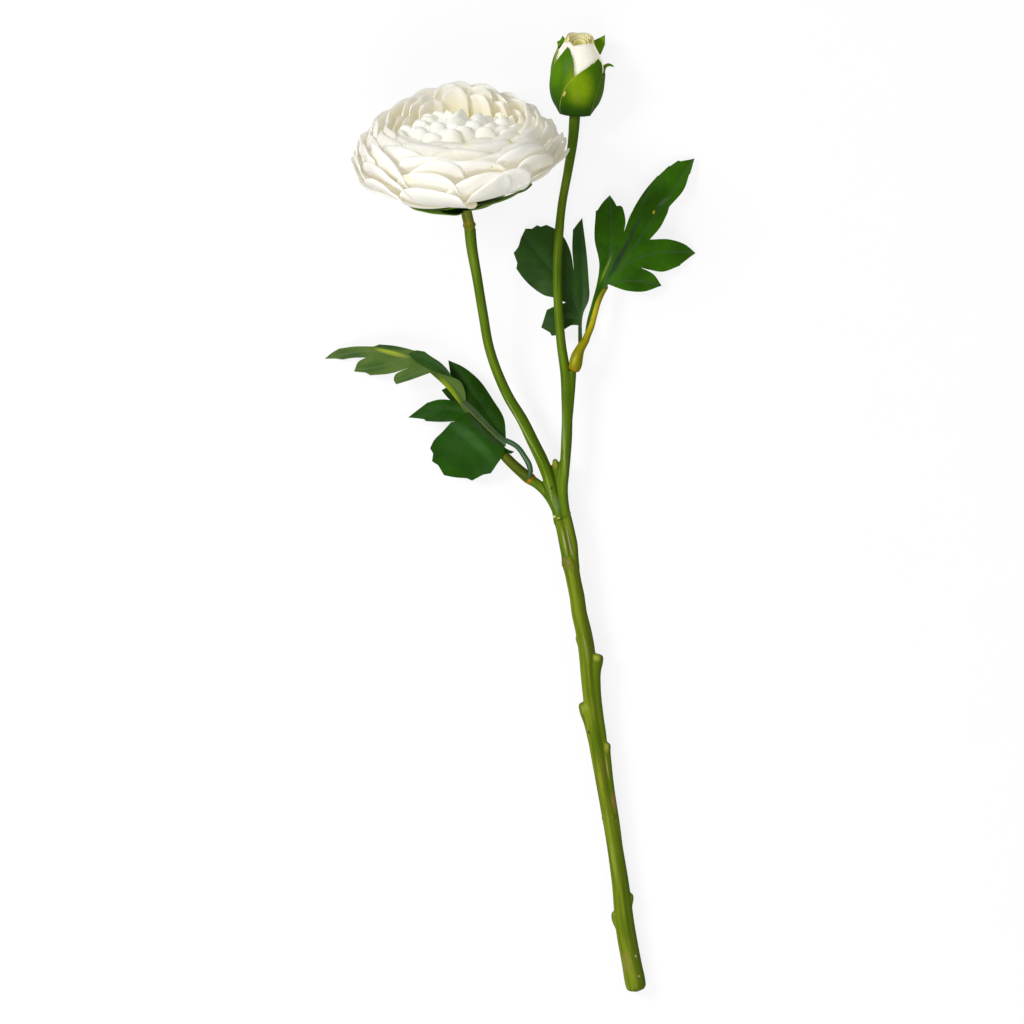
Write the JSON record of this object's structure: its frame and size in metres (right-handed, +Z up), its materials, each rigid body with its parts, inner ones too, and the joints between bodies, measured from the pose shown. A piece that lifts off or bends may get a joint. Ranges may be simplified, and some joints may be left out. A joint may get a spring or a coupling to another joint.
{
  "type": "ranunculus flower",
  "caption": "Cut ranunculus stem lying on its side, with a round layered white bloom, a closed bud on a second branch and lobed green leaves.",
  "frame": {"origin": "on the table, under the middle of the flower's length and width", "axes": "+Y along the stem from the cut end to the bud, +X to the right seen from above with the bud away from the viewer, +Z up from the table"},
  "size_m": [0.1562, 0.4032, 0.0826],
  "materials": {
    "petal": "smooth matt coated petal, creamy white",
    "bud_petal": "smooth matt coated petal, cream yellow",
    "sepal": "satin moulded, yellow green",
    "stem": "satin moulded with lengthwise ridges, olive green",
    "socket": "satin moulded, olive yellow",
    "leaf_stalk": "satin moulded, olive",
    "leaf": "matt printed sheet, dark green with a paler underside"
  },
  "bodies": {
    "root": {"bloom_petals": "petal", "bloom_calyx": "sepal", "bud_petals": "bud_petal", "bud_calyx": "sepal", "lower_stem": "stem", "stem_sleeve": "stem", "forked_stem": "stem", "right_leaf_stalk": "socket", "left_leaf_stalk": "leaf_stalk", "right_leaf_upper": "leaf", "right_leaf_lower": "leaf", "left_leaf": "leaf"}
  },
  "joints": []
}
